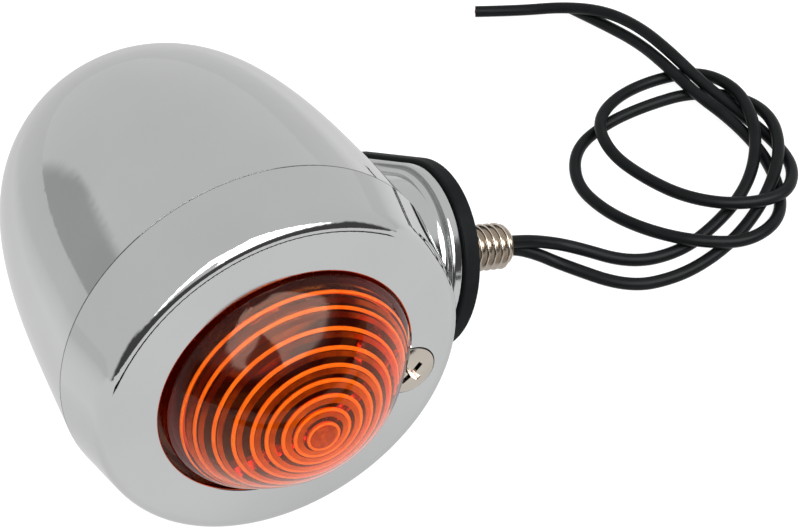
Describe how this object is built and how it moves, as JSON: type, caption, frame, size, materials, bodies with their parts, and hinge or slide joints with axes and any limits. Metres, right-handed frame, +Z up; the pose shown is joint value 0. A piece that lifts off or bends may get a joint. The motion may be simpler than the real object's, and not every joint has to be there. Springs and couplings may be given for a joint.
{
  "type": "turn signal indicator",
  "caption": "Bullet-style motorcycle turn signal: chrome shell and bezel, amber ribbed dome lens, bayonet bulb and socket, rubber gasket, hollow threaded stud and bare wire leads.",
  "frame": {"origin": "centre of the bottom of the lamp box, on the surface that the lamp lies on", "axes": "+Z up from that surface; +X the horizontal direction in which the mounting stud points; the lens faces -Y and a little up"},
  "size_m": [0.1394, 0.1036, 0.0613],
  "materials": {
    "chrome": "polished chrome plating",
    "nickel": "nickel-plated steel",
    "zinc": "zinc-plated steel",
    "amber_lens": "clear amber acrylic",
    "black_rubber": "matte black rubber",
    "black_pvc": "black wire insulation",
    "bulb_clear": "clear lamp glass",
    "brass": "lamp brass",
    "tungsten": "tungsten wire",
    "black_glass": "black glass insulator",
    "phenolic": "brown phenolic board",
    "solder": "solder",
    "spring_steel": "spring steel"
  },
  "bodies": {
    "housing": {"housing_shell": "chrome", "mounting_gasket": "black_rubber", "mounting_stud": "nickel", "stud_jam_nut": "zinc", "stud_lock_washer": "zinc", "socket_shell": "zinc", "socket_bracket": "zinc", "bracket_screws": "zinc", "ground_terminal": "zinc", "socket_base_disc": "phenolic", "hot_terminal": "brass", "contact_spring": "spring_steel", "inner_wire_hot": "black_pvc", "inner_wire_ground": "black_pvc", "wire_1": "black_pvc", "wire_2": "black_pvc"},
    "bezel": {"bezel_ring": "chrome", "lens": "amber_lens", "lens_gasket": "black_rubber"},
    "screw": {"bezel_screw": "nickel"},
    "bulb": {"bulb_glass": "bulb_clear", "bulb_base": "brass", "bulb_pins": "brass", "bulb_stem": "bulb_clear", "filament_supports": "tungsten", "bulb_filament": "tungsten", "bulb_insulator": "black_glass", "bulb_contact": "solder"},
    "plunger": {"contact_plunger": "phenolic", "contact_tip": "brass"}
  },
  "joints": [
    {"name": "bezel_lift", "type": "slide", "parent": "housing", "child": "bezel", "axis": [0.0375, -0.9955, 0.0872], "range_m": [0, 0.03]},
    {"name": "bezel_screw_turn", "type": "hinge", "parent": "bezel", "child": "screw", "pos_m": [0.00888, -0.03035, 0.02369], "axis": [0.0375, -0.9955, 0.0872], "continuous": true},
    {"name": "bulb_push", "type": "slide", "parent": "housing", "child": "bulb", "axis": [-0.0375, 0.9955, -0.0872], "range_m": [0, 0.0018], "stiffness_N_per_m": 2500, "springref_m": -0.002},
    {"name": "contact_push", "type": "slide", "parent": "housing", "child": "plunger", "axis": [-0.0375, 0.9955, -0.0872], "range_m": [0, 0.0018], "deforming": ["contact_spring"]}
  ],
  "couplings": [
    {"joint": "contact_push", "follows": "bulb_push", "ratio": 1}
  ]
}
